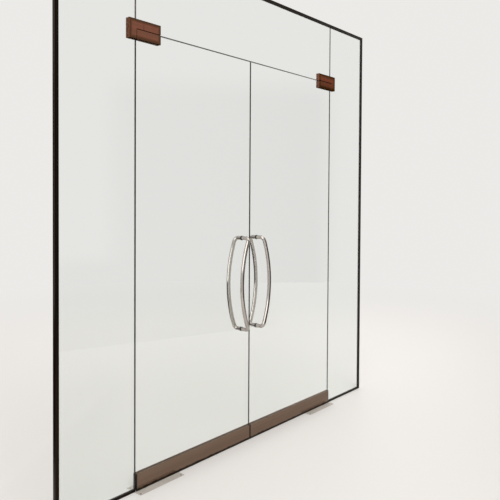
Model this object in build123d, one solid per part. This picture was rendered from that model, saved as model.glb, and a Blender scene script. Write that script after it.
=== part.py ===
from build123d import *
import os
from math import atan, atan2, cos, sin

# Frameless glass entrance: two swinging leaves between sidelights, under one overpanel.
# Millimetres. Z is up. The origin is the meeting joint of the leaves at floor level, at mid glass thickness.
# Pieces are modelled for the right-hand side, +X, and mirrored for the left.

# Panes and openings
leaf_module = 914.0             # meeting joint to side joint, centre to centre
joint_gap = 3.0                 # open joint between neighbouring panes
top_joint_height = 2436.0       # centre of the joint between leaf and overpanel
overpanel_module = 442.5        # top joint to the outside of the head channel
sidelight_module = 466.0        # side joint to the outside of a wall channel
glass_thickness = 12.0
glass_arris = 1.0               # ground bevel along the long edges

# Channels round the fixed glass
channel_thickness = 20.0        # front to back
channel_depth = 20.0
channel_wall = 2.0
floor_channel_depth = 13.0
glass_bite = 12.0               # depth of glass held in a head or wall channel
setting_block_height = 4.0
setting_block_length = 60.0
setting_block_inset = 84.0      # end of the floor channel to the middle of a block
anchor_hole_radius = 3.5
head_anchor_count = 4
head_anchor_inset = 240.0       # end of the channel to its first anchor
jamb_anchor_count = 4
jamb_anchor_inset = 330.0
floor_anchor_count = 2
floor_anchor_inset = 140.0

# Corner patches and top patches
patch_length = 160.0            # side joint to the end over the leaf
patch_leg = 50.0                # side joint to the end over the sidelight
patch_height = 52.0             # above and below the top joint
patch_thickness = 35.0          # over both plates
patch_gasket = 1.0
patch_edge_round = 1.5
seam_inset = 44.0               # side joint to the seam in the upper plates
seam_width = 2.0
seam_depth = 3.5
notch_length = 110.0            # glass notch along the pane
leaf_notch_depth = 32.0
overpanel_notch_depth = 30.0
sidelight_notch_depth = 28.0
sidelight_notch_height = 60.0
notch_radius = 9.0
core_clearance = 0.5            # between a core and the glass round it

# Clamp screws of the patches
clamp_screw_insets = (28.0, 88.0)          # side joint to the screws over the leaf
clamp_screw_rise = 17.5                    # top joint to the screw line
leg_screw_inset = 16.0
screw_radius = 3.0
screw_play = 0.3
screw_head_radius = 6.0
screw_head_height = 5.5
screw_head_sink = 0.5
screw_grip = 5.0                # length held in the front plate
socket_width = 5.0
socket_depth = 3.0
slot_width = 1.2                # driver slots of the cover screws and valves
slot_depth = 1.0

# Pivots
pivot_inset = 65.0              # side joint to the turning axis
top_pin_radius = 7.0
top_pin_engagement = 22.0       # length inside the leaf's core
top_pin_hold = 26.0             # length inside the corner patch's core
top_pin_tip = 1.5
pivot_play = 0.05
barrel_radius = 11.0            # swelling of a core round the pin
barrel_play = 0.2               # between a barrel and the plates

# Bottom rail
rail_floor_gap = 10.0
rail_height = 85.0
rail_thickness = 32.0
rail_cover = 1.5                # folded sheet
rail_cover_bend = 1.2
rail_cap = 5.0                  # end cap, seen from the front
rail_cap_play = 0.3
rail_web_foot = 24.0            # underside of the rail to its web
rail_web = 6.0
rail_gasket_base = 5.0
rail_gasket_wall = 2.0
arm_channel_width = 20.0
wiper_floor_gap = 2.0
wiper_blade = 1.2
wiper_base = 0.8                # flat strip that holds the blade
wiper_base_width = 4.0
wiper_inset = 1.6               # face of the rail to the wiper

# Bottom arm and closer spindle
arm_length = 106.0
arm_tail = 50.0                 # turning axis to the arm's inner end
arm_play = 0.1
arm_lift = 2.0                  # underside of the rail to the arm
arm_screw_pitch = 30.0          # turning axis to each screw
arm_screw_radius = 2.5
arm_screw_head_radius = 4.5
arm_screw_head_height = 4.0
shank_length = 20.0
shank_width = 12.0
spindle_radius = 12.0
spindle_depth = 45.0            # below the floor
spindle_shoulder = 2.0          # floor to the shoulder under the shank
shank_tip = 1.0

# Floor closer
cover_length = 306.0
cover_width = 120.0
cover_thickness = 3.0
cover_corner = 3.0
cover_outset = 6.0              # side joint to the outer end of the cover
cover_hole_radius = 15.0
cover_lap = 3.0                 # cover over the box, on each side
box_depth = 58.0
box_wall = 2.0
lug_size = 14.0
lug_height = 14.0
cover_screw_radius = 2.5
cover_screw_head_radius = 5.0
cover_screw_length = 13.0
body_end_gap = 24.0             # box wall to the body's ends
body_width = 78.0
body_corner = 12.0
body_bevel = 2.0
body_top = 8.0                  # floor to the top of the body
body_foot = 6.0                 # box floor to the body
ear_length = 16.0
ear_width = 66.0
ear_height = 7.0
bolt_radius = 3.0
bolt_head_radius = 5.0
bolt_head_height = 4.0
bolt_pitch = 46.0               # across the body
foot_radius = 7.0
boss_radius = 27.0
boss_height = 3.0
valve_radius = 5.0
valve_height = 2.0
valve_pitch = 22.0
valve_inset = 30.0              # body's far end to the valves

# Pulls
pull_diameter = 25.4
pull_wall = 2.0
pull_inset = 72.0               # meeting joint to the stub axis
pull_bow = 61.0                 # stub axis to the middle of the bow
pull_centres = 580.0
pull_middle_height = 1018.0
pull_standoff = 61.0            # middle of the glass to the tube's axis
pull_bend_radius = 25.0
pull_plug_length = 12.0
pull_washer = 2.0
pull_washer_radius = 14.0
pull_hole_radius = 8.0
pull_bush_play = 0.1
stud_radius = 5.0
stud_play = 0.05
stud_grip = 11.0                # length inside each plug

# Cutting tools run this far past the material
past = 1.0

# Worked out from the values above
pane_half = glass_thickness / 2
half_width = leaf_module + sidelight_module
overall_height = top_joint_height + overpanel_module
sidelight_edge = leaf_module + joint_gap / 2
hinge_edge = leaf_module - joint_gap / 2
meeting_edge = joint_gap / 2
leaf_top = top_joint_height - joint_gap / 2
overpanel_foot = top_joint_height + joint_gap / 2
channel_mouth_x = half_width - channel_depth
channel_mouth_z = overall_height - channel_depth
pane_top = channel_mouth_z + glass_bite
pane_side = channel_mouth_x + glass_bite
sidelight_foot = channel_wall + setting_block_height
channel_inside = channel_thickness - 2 * channel_wall
channel_pad = (channel_inside - glass_thickness) / 2

patch_inner_x = leaf_module - patch_length
patch_outer_x = leaf_module + patch_leg
patch_top = top_joint_height + patch_height
patch_foot = top_joint_height - patch_height
plate_face = patch_thickness / 2
plate_back = pane_half + patch_gasket
seam_x = leaf_module - seam_inset
clamp_screws = tuple(leaf_module - inset for inset in clamp_screw_insets)
upper_screw_z = top_joint_height + clamp_screw_rise
leaf_screw_z = top_joint_height - clamp_screw_rise
leg_screw_x = leaf_module + leg_screw_inset
notch_overrun = 2 * notch_radius

pivot_x = leaf_module - pivot_inset
leaf_barrel_foot = leaf_top - leaf_notch_depth + core_clearance
corner_barrel_top = overpanel_foot + overpanel_notch_depth - core_clearance

rail_foot = rail_floor_gap
rail_top = rail_foot + rail_height
rail_half = rail_thickness / 2
rail_start = meeting_edge + rail_cap
rail_end = hinge_edge - rail_cap
rail_core_half = rail_half - rail_cover
rail_slot_half = pane_half + rail_gasket_wall
wiper_face = rail_half - wiper_inset
rail_web_z = rail_foot + rail_web_foot
rail_pocket_z = rail_web_z + rail_web
leaf_foot = rail_pocket_z + rail_gasket_base

cover_outer_x = leaf_module + cover_outset
cover_inner_x = cover_outer_x - cover_length
box_outer_x = cover_outer_x - cover_lap
box_inner_x = cover_inner_x + cover_lap
box_half = cover_width / 2 - cover_lap
box_top = -cover_thickness
box_foot = box_top - box_depth
box_floor = box_foot + box_wall
body_outer_x = box_outer_x - box_wall - body_end_gap
body_inner_x = box_inner_x + box_wall + body_end_gap
body_underside = box_floor + body_foot


def span_box(x, y, z):
    """A box from three (low, high) pairs."""
    size = [high - low for low, high in (x, y, z)]
    middle = [(high + low) / 2 for low, high in (x, y, z)]
    return Pos(*middle) * Box(*size)


def area(x, z):
    """A rectangle in an elevation, from two (low, high) pairs."""
    place = Pos((x[0] + x[1]) / 2, (z[0] + z[1]) / 2)
    return place * Rectangle(x[1] - x[0], z[1] - z[0])


def round_area(x, z, radius):
    place = Pos((x[0] + x[1]) / 2, (z[0] + z[1]) / 2)
    return place * RectangleRounded(x[1] - x[0], z[1] - z[0], radius)


def upright(elevation, y0, y1):
    """An elevation drawn in X and Z, made solid from y0 back to y1."""
    return Pos(0, y1, 0) * extrude(Plane.XZ * elevation, amount=y1 - y0)


def along_x(section, x0, x1):
    """A section drawn in Y and Z, run along X."""
    return Pos(x0, 0, 0) * extrude(Plane.YZ * section, amount=x1 - x0)


def rod(radius, start, end):
    """A round bar from one point to another."""
    axis = Vector(*end) - Vector(*start)
    return extrude(Plane(origin=start, z_dir=axis) * Circle(radius), amount=axis.length)


def u_section(depth, width, leg, web):
    """A U with its web's outside on the local X axis and its legs pointing down."""
    outside = Pos(0, -depth / 2) * Rectangle(width, depth)
    inside = Pos(0, -(depth + web) / 2) * Rectangle(width - 2 * leg, depth - web)
    return outside - inside


def both_sides(solid):
    return [solid, mirror(solid, about=Plane.XZ)]


def spaced(low, high, count):
    """Evenly spaced places from low to high."""
    return [low + (high - low) * step / (count - 1) for step in range(count)]


# Planes of the channels: local X across the wall, local Y out of the opening, local Z along the channel
head_plane = Plane(origin=(-half_width, 0, overall_height), x_dir=(0, 1, 0), z_dir=(1, 0, 0))
wall_plane = Plane(origin=(half_width, 0, 0), x_dir=(0, -1, 0), z_dir=(0, 0, 1))
floor_plane = Plane(origin=(sidelight_edge, 0, 0), x_dir=(0, -1, 0), z_dir=(1, 0, 0))


def channel(plane, length, depth):
    section = u_section(depth, channel_thickness, channel_wall, channel_wall)
    return extrude(plane * section, amount=length)


def head_channel():
    solid = channel(head_plane, 2 * half_width, channel_depth)
    reach = half_width - head_anchor_inset
    for x in spaced(-reach, reach, head_anchor_count):
        solid -= rod(anchor_hole_radius, (x, 0, channel_mouth_z), (x, 0, overall_height + past))
    return solid


def wall_channel():
    solid = channel(wall_plane, channel_mouth_z, channel_depth)
    for z in spaced(jamb_anchor_inset, channel_mouth_z - jamb_anchor_inset, jamb_anchor_count):
        solid -= rod(anchor_hole_radius, (channel_mouth_x, 0, z), (half_width + past, 0, z))
    return solid


def floor_channel():
    solid = channel(floor_plane, channel_mouth_x - sidelight_edge, floor_channel_depth)
    ends = (sidelight_edge + floor_anchor_inset, channel_mouth_x - floor_anchor_inset)
    for x in spaced(*ends, floor_anchor_count):
        solid -= rod(anchor_hole_radius, (x, 0, -past), (x, 0, floor_channel_depth))
    return solid


def channel_gaskets():
    """The head gasket, then the right-hand wall gasket and floor strips."""
    base = channel_depth - channel_wall - glass_bite
    depth = channel_depth - channel_wall
    section = Pos(0, -channel_wall) * u_section(depth, channel_inside, channel_pad, base)
    head = extrude(head_plane * section, amount=2 * half_width)
    wall = extrude(wall_plane * section, amount=channel_mouth_z)
    strip = span_box(
        (sidelight_edge, channel_mouth_x),
        (-channel_inside / 2, -pane_half),
        (channel_wall, floor_channel_depth),
    )
    return [head], [wall, *both_sides(strip)]


def setting_blocks():
    blocks = []
    reach = setting_block_length / 2
    for x in (sidelight_edge + setting_block_inset, channel_mouth_x - setting_block_inset):
        span = (x - reach, x + reach)
        blocks.append(span_box(span, (-pane_half, pane_half), (channel_wall, sidelight_foot)))
    return blocks


def pane(elevation):
    """A glass pane with a ground arris round its outline."""
    glass = upright(elevation, -pane_half, pane_half)
    faces = glass.faces().sort_by(Axis.Y)
    return chamfer(faces[0].outer_wire().edges() + faces[-1].outer_wire().edges(), glass_arris)


def leaf_notch(clearance=0.0):
    """Notch at the top corner of a leaf, running out past both edges of the pane."""
    return round_area(
        (hinge_edge - notch_length + clearance, hinge_edge + notch_overrun),
        (leaf_top - leaf_notch_depth + clearance, leaf_top + notch_overrun),
        notch_radius,
    )


def overpanel_notch(clearance=0.0):
    return round_area(
        (hinge_edge - notch_length + clearance, hinge_edge + notch_overrun),
        (overpanel_foot - notch_overrun, overpanel_foot + overpanel_notch_depth - clearance),
        notch_radius,
    )


def sidelight_notch(clearance=0.0):
    reach = sidelight_notch_height / 2 - clearance
    return round_area(
        (sidelight_edge - notch_overrun, sidelight_edge + sidelight_notch_depth - clearance),
        (top_joint_height - reach, top_joint_height + reach),
        notch_radius,
    )


def sidelight_glass():
    return pane(area((sidelight_edge, pane_side), (sidelight_foot, pane_top)) - sidelight_notch())


def overpanel_glass():
    notch = overpanel_notch()
    outline = area((-hinge_edge, hinge_edge), (overpanel_foot, pane_top)) - notch
    return pane(outline - mirror(notch, about=Plane.YZ))


def butt_joint_seal():
    return span_box((hinge_edge, sidelight_edge), (-pane_half, pane_half), (patch_top, pane_top))


def corner_outline():
    """The L of the corner patch: over the overpanel, then down over the sidelight."""
    arm = area((patch_inner_x, patch_outer_x), (overpanel_foot, patch_top))
    return arm + area((sidelight_edge, patch_outer_x), (patch_foot, patch_top))


def top_outline():
    return area((patch_inner_x, hinge_edge), (patch_foot, leaf_top))


def front_plate(outline, screws):
    """The plate on the photographed side, tapped from its back for the clamp screws."""
    plate = upright(outline, -plate_face, -plate_back)
    plate = fillet(plate.faces().sort_by(Axis.Y)[0].edges(), patch_edge_round)
    for x, z in screws:
        plate -= rod(screw_radius, (x, -plate_back - screw_grip - past, z), (x, 0, z))
    return plate


def back_plate(outline, screws):
    """The plate on the room side, counterbored for the screw heads."""
    plate = upright(outline, plate_back, plate_face)
    plate = fillet(plate.faces().sort_by(Axis.Y)[-1].edges(), patch_edge_round)
    seat = plate_face - screw_head_sink - screw_head_height
    for x, z in screws:
        plate -= rod(screw_radius + screw_play, (x, 0, z), (x, plate_face, z))
        plate -= rod(screw_head_radius + screw_play, (x, seat, z), (x, plate_face + past, z))
    return plate


def seam(face_y):
    """Seam between the overpanel and sidelight halves of an upper plate."""
    return span_box(
        (seam_x - seam_width / 2, seam_x + seam_width / 2),
        (face_y - seam_depth, face_y + seam_depth),
        (overpanel_foot - past, patch_top + past),
    )


def corner_screws():
    places = [(x, upper_screw_z) for x in clamp_screws]
    return places + [(leg_screw_x, top_joint_height)]


def top_screws():
    return [(x, leaf_screw_z) for x in clamp_screws]


def barrel(foot, top, play=0.0):
    """Round swelling of a core about the turning axis."""
    return rod(barrel_radius + play, (pivot_x, 0, foot - play), (pivot_x, 0, top + play))


def clamp_core(outline, screws, swelling):
    core = upright(outline, -plate_back, plate_back) + swelling
    for x, z in screws:
        core -= rod(screw_radius + screw_play, (x, -plate_face, z), (x, plate_face, z))
    return core


def corner_core():
    """Fills both notches, so it carries the pivot pin and keys the panes together."""
    over = overpanel_notch(core_clearance) & area(
        (hinge_edge - notch_length, sidelight_edge), (overpanel_foot, patch_top)
    )
    beside = sidelight_notch(core_clearance) & area(
        (sidelight_edge, patch_outer_x), (patch_foot, patch_top)
    )
    core = clamp_core(over + beside, corner_screws(), barrel(overpanel_foot, corner_barrel_top))
    hole_top = overpanel_foot + top_pin_hold
    return core - rod(top_pin_radius, (pivot_x, 0, overpanel_foot - past), (pivot_x, 0, hole_top))


def top_core():
    outline = leaf_notch(core_clearance) & area((patch_inner_x, hinge_edge), (patch_foot, leaf_top))
    core = clamp_core(outline, top_screws(), barrel(leaf_barrel_foot, leaf_top))
    bore = rod(top_pin_radius + pivot_play, (pivot_x, 0, patch_foot), (pivot_x, 0, leaf_top + past))
    return core - bore


def patch_gaskets(outline, notches):
    return both_sides(upright(outline - notches, -plate_back, -pane_half))


def top_pivot():
    pin = rod(
        top_pin_radius,
        (pivot_x, 0, leaf_top - top_pin_engagement),
        (pivot_x, 0, overpanel_foot + top_pin_hold),
    )
    return chamfer(pin.edges().sort_by(Axis.Z)[0], top_pin_tip)


def clamp_screw(x, z):
    """Socket head screw, its head in the back plate and its end in the front plate."""
    head_face = plate_face - screw_head_sink
    seat = head_face - screw_head_height
    head = rod(screw_head_radius, (x, seat, z), (x, head_face, z))
    shank = rod(screw_radius, (x, -plate_back - screw_grip, z), (x, seat, z))
    hexagon = RegularPolygon(socket_width / 2, 6, major_radius=False)
    socket = Plane(origin=(x, head_face, z), z_dir=(0, -1, 0)) * hexagon
    return head + shank - extrude(socket, amount=socket_depth)


def door_glass():
    outline = area((meeting_edge, hinge_edge), (leaf_foot, leaf_top)) - leaf_notch()
    glass = pane(outline)
    for z in pull_stub_heights():
        glass -= rod(pull_hole_radius, (pull_inset, -glass_thickness, z), (pull_inset, glass_thickness, z))
    return glass


def rail_core():
    """Extruded section: glass pocket above a web, arm channel below it."""
    top = rail_top - rail_cover
    foot = rail_foot + rail_cover
    section = area((-rail_core_half, rail_core_half), (foot, top))
    section -= area((-rail_slot_half, rail_slot_half), (rail_pocket_z, top))
    section -= area((-arm_channel_width / 2, arm_channel_width / 2), (foot, rail_web_z))
    core = along_x(section, rail_start, rail_end)
    for x in arm_screw_places():
        core -= rod(arm_screw_radius, (x, 0, rail_web_z - past), (x, 0, rail_pocket_z + past))
    return core


def rail_cover_front():
    """Folded sheet over the front of the rail, with a ledge at the top and a lip underneath."""
    face = area((-rail_half, -rail_core_half), (rail_foot, rail_top))
    ledge = area((-rail_half, -rail_slot_half), (rail_top - rail_cover, rail_top))
    lip = area((-rail_half, -arm_channel_width / 2), (rail_foot, rail_foot + rail_cover))
    section = face + ledge + lip
    outside = section.vertices().sort_by(Axis.X)[:2]
    return along_x(fillet(outside, rail_cover_bend), rail_start, rail_end)


def rail_gasket():
    depth = rail_top - rail_cover - rail_pocket_z
    section = u_section(depth, 2 * rail_slot_half, rail_gasket_wall, rail_gasket_base)
    return along_x(Pos(0, rail_pocket_z) * mirror(section, about=Plane.XZ), rail_start, rail_end)


def rail_wiper():
    """Blade that hangs from a flat strip under the rail's front lip and closes the gap to the floor."""
    base = area((-wiper_face, wiper_base_width - wiper_face), (rail_foot - wiper_base, rail_foot))
    blade = area((-wiper_face, wiper_blade - wiper_face), (wiper_floor_gap, rail_foot))
    return along_x(base + blade, meeting_edge, hinge_edge)


def rail_end_caps():
    section = area((-rail_half, rail_half), (rail_foot, rail_top))
    section = fillet(section.vertices(), rail_cover_bend)
    slot_half = pane_half + rail_cap_play
    section -= area((-slot_half, slot_half), (leaf_foot - rail_cap_play, rail_top + past))
    return [along_x(section, meeting_edge, rail_start), along_x(section, rail_end, hinge_edge)]


def arm_screw_places():
    return (pivot_x - arm_screw_pitch, pivot_x + arm_screw_pitch)


def shank_area():
    return Pos(pivot_x, 0) * Rectangle(shank_length, shank_width)


def bottom_arm():
    """Bar in the rail's lower channel that the closer spindle turns."""
    half = arm_channel_width / 2 - arm_play
    foot = rail_foot + arm_lift
    bar = Pos(pivot_x - arm_tail + arm_length / 2, 0) * RectangleRounded(arm_length, 2 * half, half / 2)
    arm = Pos(0, 0, foot) * extrude(bar, amount=rail_web_z - foot)
    arm -= extrude(shank_area(), amount=rail_web_z + past)
    for x in arm_screw_places():
        arm -= rod(arm_screw_radius + arm_play, (x, 0, 0), (x, 0, rail_web_z + past))
        arm -= rod(arm_screw_head_radius + arm_play, (x, 0, 0), (x, 0, foot + arm_screw_head_height))
    return arm


def arm_screw(x):
    foot = rail_foot + arm_lift
    head = rod(arm_screw_head_radius, (x, 0, foot), (x, 0, foot + arm_screw_head_height))
    return head + rod(arm_screw_radius, (x, 0, foot), (x, 0, rail_pocket_z))


def closer_spindle():
    body = rod(spindle_radius, (pivot_x, 0, -spindle_depth), (pivot_x, 0, -spindle_shoulder))
    shank = Pos(0, 0, -spindle_shoulder) * extrude(shank_area(), amount=rail_web_z + spindle_shoulder)
    return body + chamfer(shank.faces().sort_by(Axis.Z)[-1].edges(), shank_tip)


def lug_places():
    inset = box_wall + lug_size / 2
    return [
        (x, y)
        for x in (box_inner_x + inset, box_outer_x - inset)
        for y in (-box_half + inset, box_half - inset)
    ]


def bolt_places():
    return [
        (x, y)
        for x in (body_inner_x - ear_length / 2, body_outer_x + ear_length / 2)
        for y in (-bolt_pitch / 2, bolt_pitch / 2)
    ]


def closer_box():
    """Open tray set in the floor, with corner lugs for the cover and feet for the closer body."""
    tray = span_box((box_inner_x, box_outer_x), (-box_half, box_half), (box_foot, box_top))
    tray -= span_box(
        (box_inner_x + box_wall, box_outer_x - box_wall),
        (-box_half + box_wall, box_half - box_wall),
        (box_floor, box_top + past),
    )
    for x, y in lug_places():
        tray += Pos(x, y, box_top - lug_height / 2) * Box(lug_size, lug_size, lug_height)
        tray -= rod(cover_screw_radius, (x, y, box_top - cover_screw_length), (x, y, 0))
    for x, y in bolt_places():
        tray += rod(foot_radius, (x, y, box_floor), (x, y, body_underside))
        tray -= rod(bolt_radius, (x, y, box_floor), (x, y, body_underside + past))
    return tray


def closer_body():
    """Sealed casting with end ears, the spindle boss and two regulating valves."""
    middle = Pos((body_inner_x + body_outer_x) / 2, 0)
    length = body_outer_x - body_inner_x
    main = middle * RectangleRounded(length, body_width, body_corner)
    ears = middle * RectangleRounded(length + 2 * ear_length, ear_width, body_corner / 2)
    top = -body_top
    body = Pos(0, 0, body_underside) * extrude(main, amount=top - body_underside)
    body = chamfer(body.faces().sort_by(Axis.Z)[-1].edges(), body_bevel)
    body += Pos(0, 0, body_underside) * extrude(ears, amount=ear_height)
    body += rod(boss_radius, (pivot_x, 0, body_underside), (pivot_x, 0, top + boss_height))
    for y in (-valve_pitch / 2, valve_pitch / 2):
        x = body_inner_x + valve_inset
        body += rod(valve_radius, (x, y, top - valve_height), (x, y, top + valve_height))
        body -= driver_slot(x, y, top + valve_height, valve_radius)
    for x, y in bolt_places():
        body -= rod(bolt_radius + screw_play, (x, y, box_foot), (x, y, 0))
    return body - rod(spindle_radius + pivot_play, (pivot_x, 0, -spindle_depth), (pivot_x, 0, 0))


def closer_cover():
    middle = Pos((cover_inner_x + cover_outer_x) / 2, 0, -cover_thickness)
    outline = RectangleRounded(cover_length, cover_width, cover_corner)
    plate = middle * extrude(outline, amount=cover_thickness)
    plate -= rod(cover_hole_radius, (pivot_x, 0, -cover_thickness - past), (pivot_x, 0, past))
    for x, y in lug_places():
        plate -= countersunk(x, y, cover_thickness + past)
    return plate


def driver_slot(x, y, top, radius):
    return span_box(
        (x - radius - past, x + radius + past),
        (y - slot_width / 2, y + slot_width / 2),
        (top - slot_depth, top + past),
    )


def countersunk(x, y, length):
    """A cover screw's form: a cone flush with the floor, and a shank down to the given length."""
    height = cover_screw_head_radius - cover_screw_radius
    head = Pos(x, y, -height / 2) * Cone(cover_screw_radius, cover_screw_head_radius, height)
    return head + rod(cover_screw_radius, (x, y, -length), (x, y, -height / 2))


def cover_screw(x, y):
    solid = countersunk(x, y, cover_thickness + cover_screw_length)
    return solid - driver_slot(x, y, 0, cover_screw_head_radius)


def body_bolt(x, y):
    seat = body_underside + ear_height
    head = Plane(origin=(x, y, seat)) * RegularPolygon(bolt_head_radius, 6)
    return extrude(head, amount=bolt_head_height) + rod(bolt_radius, (x, y, box_floor), (x, y, seat))


def closer_screws():
    covers = [cover_screw(x, y) for x, y in lug_places()]
    return covers + [body_bolt(x, y) for x, y in bolt_places()]


def pull_stub_heights():
    half = pull_centres / 2
    return (pull_middle_height - half, pull_middle_height + half)


def pull_path():
    """Axis of the outside pull: stub, bend, bow, bend and stub, each tangent to the next."""
    half = pull_centres / 2
    bend = pull_bend_radius
    bow_radius = (pull_bow**2 + half**2 - bend**2) / (2 * pull_bow)
    centre_x = pull_inset + pull_bow - bow_radius
    turn = atan2(half, pull_inset - centre_x) - atan(bend / bow_radius)
    y = -pull_standoff

    def stub(side):
        """Points from the glass out to the start of the bow, for the upper end (1) or the lower end (-1)."""
        z = pull_middle_height + side * half
        foot = Vector(pull_inset, -(pane_half + pull_washer), z)
        bend_start = Vector(pull_inset, y + bend, z)
        bend_end = Vector(pull_inset + bend * sin(turn), y, z - side * bend * cos(turn))
        corner = Vector(pull_inset, y, z)
        centre = bend_start + bend_end - corner
        bend_middle = centre + (corner - centre).normalized() * bend
        return foot, bend_start, bend_middle, bend_end

    upper, lower = stub(1), stub(-1)
    bow_middle = Vector(pull_inset + pull_bow, y, pull_middle_height)
    return Wire(
        [
            Edge.make_line(upper[0], upper[1]),
            Edge.make_three_point_arc(*upper[1:]),
            Edge.make_three_point_arc(upper[3], bow_middle, lower[3]),
            Edge.make_three_point_arc(lower[3], lower[2], lower[1]),
            Edge.make_line(lower[1], lower[0]),
        ]
    )


def outside_pull():
    """Bent tube with a tapped plug welded into each end."""
    path = pull_path()
    start = Plane(origin=path @ 0, z_dir=path % 0)
    radius = pull_diameter / 2
    tube = sweep(start * Circle(radius), path=path) - sweep(start * Circle(radius - pull_wall), path=path)
    foot = -(pane_half + pull_washer)
    for z in pull_stub_heights():
        plug = rod(radius - pull_wall, (pull_inset, foot, z), (pull_inset, foot - pull_plug_length, z))
        end = (pull_inset, foot - pull_plug_length - past, z)
        tube += plug - rod(stud_radius + stud_play, (pull_inset, 0, z), end)
    return tube


def pull_washers():
    """Two washers and the bush between them, for each end of the pulls."""
    pieces = []
    bore = stud_radius + stud_play
    for z in pull_stub_heights():
        outer = -(pane_half + pull_washer)
        hole = rod(bore, (pull_inset, 2 * outer, z), (pull_inset, -2 * outer, z))
        washer = rod(pull_washer_radius, (pull_inset, outer, z), (pull_inset, -pane_half, z))
        bush = rod(pull_hole_radius - pull_bush_play, (pull_inset, -pane_half, z), (pull_inset, pane_half, z))
        pieces += both_sides(washer - hole) + [bush - hole]
    return pieces


def pull_studs():
    reach = pane_half + pull_washer + stud_grip
    return [rod(stud_radius, (pull_inset, -reach, z), (pull_inset, reach, z)) for z in pull_stub_heights()]


def leaf_screws():
    clamps = [clamp_screw(x, z) for x, z in top_screws()]
    return clamps + [arm_screw(x) for x in arm_screw_places()] + pull_studs()


def write(name, pieces):
    solids = []
    for piece in pieces:
        solids += piece.solids()
    for solid in solids:
        solid.label = name
    export_step(Compound(children=solids) if len(solids) > 1 else solids[0], f"parts/{name}.step")


def write_pair(name, pieces):
    """Writes the right-hand piece and its mirrored left-hand one."""
    write("right_" + name, pieces)
    write("left_" + name, [mirror(piece, about=Plane.YZ) for piece in pieces])


def with_mirrored(pieces):
    return pieces + [mirror(piece, about=Plane.YZ) for piece in pieces]


def write_frame():
    head_gasket, side_gaskets = channel_gaskets()
    write("head_channel", [head_channel()])
    write_pair("wall_channel", [wall_channel()])
    write_pair("floor_channel", [floor_channel()])
    write("channel_gaskets", head_gasket + with_mirrored(side_gaskets))
    write("setting_blocks", with_mirrored(setting_blocks()))
    write_pair("sidelight_glass", [sidelight_glass()])
    write("overpanel_glass", [overpanel_glass()])
    write("butt_joint_seals", with_mirrored([butt_joint_seal()]))


def write_corner_patches():
    outline = corner_outline()
    notches = overpanel_notch() + sidelight_notch()
    groove = barrel(overpanel_foot - past, corner_barrel_top, barrel_play)
    write_pair("corner_patch_front", [front_plate(outline, corner_screws()) - seam(-plate_face) - groove])
    write_pair("corner_patch_back", [back_plate(outline, corner_screws()) - seam(plate_face) - groove])
    write_pair("corner_patch_core", [corner_core()])
    write("corner_patch_gaskets", with_mirrored(patch_gaskets(outline, notches)))
    write("corner_patch_screws", with_mirrored([clamp_screw(x, z) for x, z in corner_screws()]))
    write_pair("top_pivot", [top_pivot()])


def write_closers():
    write_pair("closer_box", [closer_box()])
    write_pair("closer_body", [closer_body()])
    write_pair("closer_cover", [closer_cover()])
    write("closer_screws", with_mirrored(closer_screws()))
    write_pair("closer_spindle", [closer_spindle()])


def write_leaves():
    outline = top_outline()
    groove = barrel(leaf_barrel_foot, leaf_top + past, barrel_play)
    cover = rail_cover_front()
    pull = outside_pull()
    write_pair("door_glass", [door_glass()])
    write_pair("top_patch_front", [front_plate(outline, top_screws()) - groove])
    write_pair("top_patch_back", [back_plate(outline, top_screws()) - groove])
    write_pair("top_patch_core", [top_core()])
    write_pair("top_patch_gaskets", patch_gaskets(outline, leaf_notch()))
    write_pair("leaf_screws", leaf_screws())
    write_pair("rail_core", [rail_core()])
    write_pair("rail_cover_front", [cover])
    write_pair("rail_cover_back", [mirror(cover, about=Plane.XZ)])
    write_pair("rail_gasket", [rail_gasket(), *both_sides(rail_wiper())])
    write_pair("rail_end_caps", rail_end_caps())
    write_pair("bottom_arm", [bottom_arm()])
    write_pair("pull_outside", [pull])
    write_pair("pull_inside", [mirror(pull, about=Plane.XZ)])
    write_pair("pull_washers", pull_washers())


os.makedirs("parts", exist_ok=True)
write_frame()
write_corner_patches()
write_closers()
write_leaves()
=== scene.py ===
from math import cos, pi, radians, sin

import bmesh
import bpy
from bpy.props import FloatProperty, FloatVectorProperty, PointerProperty
from bpy.types import Operator, Panel, PropertyGroup
from mathutils import Matrix, Vector


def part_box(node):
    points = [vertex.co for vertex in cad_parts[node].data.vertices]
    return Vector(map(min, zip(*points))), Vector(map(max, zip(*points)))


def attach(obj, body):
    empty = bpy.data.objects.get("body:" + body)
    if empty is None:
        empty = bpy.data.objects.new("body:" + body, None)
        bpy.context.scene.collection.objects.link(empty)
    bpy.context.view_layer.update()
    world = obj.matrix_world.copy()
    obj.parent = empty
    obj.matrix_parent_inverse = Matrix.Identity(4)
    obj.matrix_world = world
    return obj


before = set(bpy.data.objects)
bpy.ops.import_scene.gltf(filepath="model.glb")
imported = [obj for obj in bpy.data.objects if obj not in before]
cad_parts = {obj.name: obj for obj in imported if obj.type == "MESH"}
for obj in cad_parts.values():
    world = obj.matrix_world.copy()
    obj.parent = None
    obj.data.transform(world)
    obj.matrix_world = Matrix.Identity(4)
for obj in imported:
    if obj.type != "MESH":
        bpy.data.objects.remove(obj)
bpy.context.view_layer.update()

bl_info = {
    "name": "Glass Entrance Dressing",
    "version": (1, 0, 0),
    "blender": (4, 5, 0),
    "location": "View3D > Sidebar > Glass Entrance",
    "description": "Finishes, gasket lips and a pale studio for a frameless glass entrance",
    "category": "Object",
}

# All lengths are metres. Z is up, the leaves meet at X 0, and -Y is the side of the photograph.
micron = 0.000001
pane_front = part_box("right_door_glass")[0].y
leaf_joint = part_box("right_sidelight_glass")[0].x
opening_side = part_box("right_wall_channel")[0].x
opening_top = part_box("head_channel")[0].z
floor_channel_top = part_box("right_floor_channel")[1].z
channel_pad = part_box("channel_gaskets")[1].y + pane_front
patch_low, patch_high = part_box("right_corner_patch_front")
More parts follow.
